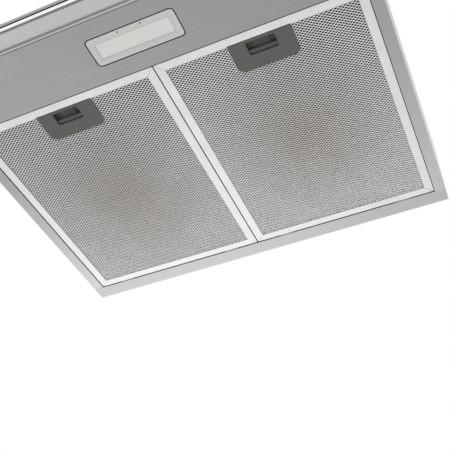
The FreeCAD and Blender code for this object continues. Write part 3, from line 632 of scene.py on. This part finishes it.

# ------------------------------------------------------------------ filter handles and latches
# A glass-filled nylon plate is riveted into each outer sheet, with a finger window. A sprung tab behind the
# window is pulled back to draw its tongue out of the light panel's lip, against two small springs.

# Painted shade: the handle's and latch's colour darkens with height inside the finger pocket.
plate_low, pocket_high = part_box("filter_handle_left")
handle_grey = darker_inside(
    moulded("handle_nylon", (0.09, 0.094, 0.083), spread=0.05, rough=(0.42, 0.55), depth=0.00003),
    plate_low.z + 0.9 * MM, pocket_high.z - 2 * MM, 0.45)
spring_wire = bare_aluminium("spring_wire", 0.7, (0.2, 0.3))
for side in ("left", "right"):
    softened("filter_handle_" + side, 0.35 * MM, handle_grey, segments=3)
    softened("filter_latch_" + side, 0.25 * MM, handle_grey)
    coils = softened("latch_spring_" + side, 0.0, spring_wire, sharper=170)
    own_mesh(coils)

# ------------------------------------------------------------------ blower
# Two scroll halves of galvanised steel hang under the top panel round a double-inlet wheel. The motor sits in
# the wheel's right half on a three-armed bracket.

galvanised = bare_aluminium("galvanised", 0.5, (0.35, 0.55), spread=0.12, grain=120.0)
motor_paint = moulded("motor_paint", (0.12, 0.125, 0.13), spread=0.1, rough=(0.35, 0.5), coat=0.2)
turned_steel = brushed_metal("turned_steel", 0.7, rough=(0.15, 0.25))
wheel_black = moulded("wheel_black", (0.03, 0.03, 0.032), spread=0.12, rough=(0.35, 0.5))

for name in ("scroll_left", "scroll_right", "motor_bracket", "centre_support"):
    softened(name, 0.3 * MM, galvanised)
softened("impeller_hub", 0.3 * MM, wheel_black)
softened("wheel_blades", 0.2 * MM, wheel_black, segments=1)
softened("wheel_rings", 0.4 * MM, wheel_black)
softened("impeller_shaft", 0.3 * MM, turned_steel)
softened("motor", 1.2 * MM, motor_paint, segments=3)

# ------------------------------------------------------------------ duct collar and back-draught flaps
# A moulded collar is screwed over the outlet. Two half-round flaps on steel pins lie on its seat and are
# lifted by the air.

softened("duct_collar", 0.4 * MM, black_plastic)
softened("collar_ring", 0.4 * MM, black_plastic)
softened("flap_pins", 0.15 * MM, turned_steel)
for name in ("flap_front", "flap_rear"):
    softened(name, 0.25 * MM, black_plastic)


SCREW_SHANK = 1.5 * MM      # radius, and the length under the head
SCREW_HEAD = 3.2 * MM
SCREW_SIDES = 24


def extruded(bm, edges):
    """The points of the new edges that an extrusion of these edges makes."""
    made = bmesh.ops.extrude_edge_only(bm, edges=edges)["geom"]
    return [item for item in made if isinstance(item, bmesh.types.BMVert)]


def pan_head_screws():
    """Screws through the collar's flange: a spun shank and head, with a tapered cross recess."""
    low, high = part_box("collar_screws")
    middle = (low + high) / 2
    reach = (high.x - low.x) / 2 - SCREW_HEAD
    seat = low.z + SCREW_SHANK
    dome = high.z - seat
    outline = [(SCREW_SHANK, low.z), (SCREW_SHANK, seat), (SCREW_HEAD, seat),
               (SCREW_HEAD, seat + dome * 0.45), (SCREW_HEAD * 0.8, high.z - dome * 0.12),
               (SCREW_HEAD * 0.5, high.z)]
    bm = bmesh.new()
    for sx in (-1, 1):
        for sy in (-1, 1):
            centre = Vector((middle.x + sx * reach, middle.y + sy * reach, 0))
            points = [bm.verts.new((centre.x + radius, centre.y, z)) for radius, z in outline]
            chain = [bm.edges.new(pair) for pair in zip(points, points[1:])]
            bmesh.ops.spin(bm, geom=points + chain, cent=centre, axis=(0, 0, 1), angle=2 * math.pi,
                           steps=SCREW_SIDES, use_merge=True)
            bmesh.ops.edgeloop_fill(bm, edges=[e for e in open_edges(bm) if e.verts[0].co.z < seat])
            for point in extruded(bm, open_edges(bm)):
                angle = math.atan2(point.co.y - centre.y, point.co.x - centre.x)
                radius = SCREW_HEAD * (0.12 + 0.3 * abs(math.cos(2 * angle)) ** 4)
                point.co = (centre.x + radius * math.cos(angle), centre.y + radius * math.sin(angle), high.z)
            floor = extruded(bm, open_edges(bm))
            bmesh.ops.scale(bm, vec=(0.6, 0.6, 1), space=Matrix.Translation(-centre), verts=floor)
            bmesh.ops.translate(bm, vec=(0, 0, -dome * 0.6), verts=floor)
            bmesh.ops.edgeloop_fill(bm, edges=open_edges(bm))
    return finish_piece("flange_screws", bm, "casing", "screw_steel", turned_steel, "collar_screws")


pan_head_screws()

# ------------------------------------------------------------------ controls
# A slide switch for the fan speed and one for the lamp share a moulded bezel on the fascia's right.

RIDGE_WIDTH = 0.7 * MM
RIDGE_PITCH = 2.1 * MM
RIDGE_INSET = 1.2 * MM      # from the cap's top and bottom
RIDGE_DEPTH = 0.6 * MM

knob_plastic = moulded("knob_plastic", (0.045, 0.045, 0.047), spread=0.1, rough=(0.28, 0.38), coat=0.2)


def ridged_knob(name):
    """Slider cap with a row of finger ridges on its face, and its stem."""
    low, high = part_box(name)
    bm = node_mesh(name)
    soften(bm, 0.4 * MM, segments=3)
    for k in range(-2, 3):
        x = (low.x + high.x) / 2 + k * RIDGE_PITCH
        add_box(bm, (x - RIDGE_WIDTH / 2, low.y, low.z + RIDGE_INSET),
                (x + RIDGE_WIDTH / 2, low.y + RIDGE_DEPTH, high.z - RIDGE_INSET))
    return finish_piece(name + "_finished", bm, BODY_OF[name], SLOT_OF[name], knob_plastic, name)


softened("control_bezel", 0.3 * MM, black_plastic)
softened("switch_block", 0.4 * MM, black_plastic)
for name in ("fan_slider", "light_slider"):
    ridged_knob(name)

# ------------------------------------------------------------------ wiring
# The supply comes in through a rubber gland in the top, to a terminal block in its own box beside the motor's
# run capacitor.

terminal_white = moulded("terminal_white", (0.66, 0.66, 0.63), rough=(0.3, 0.45))
gland_rubber = moulded("gland_rubber", (0.03, 0.03, 0.03), spread=0.2, rough=(0.6, 0.75), depth=0.00004)
can_metal = bare_aluminium("can_metal", 0.72, (0.25, 0.35))
softened("junction_box", 0.5 * MM, black_plastic)
softened("terminal_block", 0.4 * MM, terminal_white)
softened("capacitor", 0.8 * MM, can_metal, segments=3)
softened("cable_gland", 0.4 * MM, gland_rubber)

# ------------------------------------------------------------------ room, light and camera
# A pale studio floor well under the hood, an even white surround, and one soft box low at the rear left.

floor_mesh = bpy.data.meshes.new("floor")
floor_size, floor_drop = 2.2, -1.75
bm = bmesh.new()
bmesh.ops.create_grid(bm, x_segments=2, y_segments=2, size=floor_size)
bmesh.ops.translate(bm, vec=(0, 0, floor_drop), verts=bm.verts)
bm.to_mesh(floor_mesh)
bm.free()
floor = bpy.data.objects.new("floor", floor_mesh)
bpy.context.scene.collection.objects.link(floor)
floor_paint = moulded("floor_paint", (0.78, 0.78, 0.78), spread=0.01, rough=(0.8, 0.9))
floor_mesh.materials.append(floor_paint)

scene = bpy.context.scene
world = bpy.data.worlds.new("studio")
world.use_nodes = True
world.node_tree.nodes["Background"].inputs["Color"].default_value = (1, 1, 1, 1)
world.node_tree.nodes["Background"].inputs["Strength"].default_value = 1.0
scene.world = world
scene.view_settings.view_transform = "Standard"

box_place = Vector((-0.9, 1.8, -1.0))
box_data = bpy.data.lights.new("low_rear_left", "AREA")
box_data.shape = "SQUARE"
box_data.size = 1.4
box_data.energy = 3
soft_box = bpy.data.objects.new("low_rear_left", box_data)
scene.collection.objects.link(soft_box)
soft_box.matrix_world = (Matrix.Translation(box_place)
                         @ (-box_place).to_track_quat("-Z", "Y").to_matrix().to_4x4())

camera_data = bpy.data.cameras.new("camera")
camera_data.sensor_width = 36.0
camera_data.lens = 62.475
camera_data.clip_end = 50
camera = bpy.data.objects.new("camera", camera_data)
scene.collection.objects.link(camera)
look = Vector((-0.29040779, 0.66482583, 0.68823682))
camera.matrix_world = (Matrix.Translation((0.321845, -0.646229, -0.839021))
                       @ look.to_track_quat("-Z", "Y").to_matrix().to_4x4())
scene.camera = camera
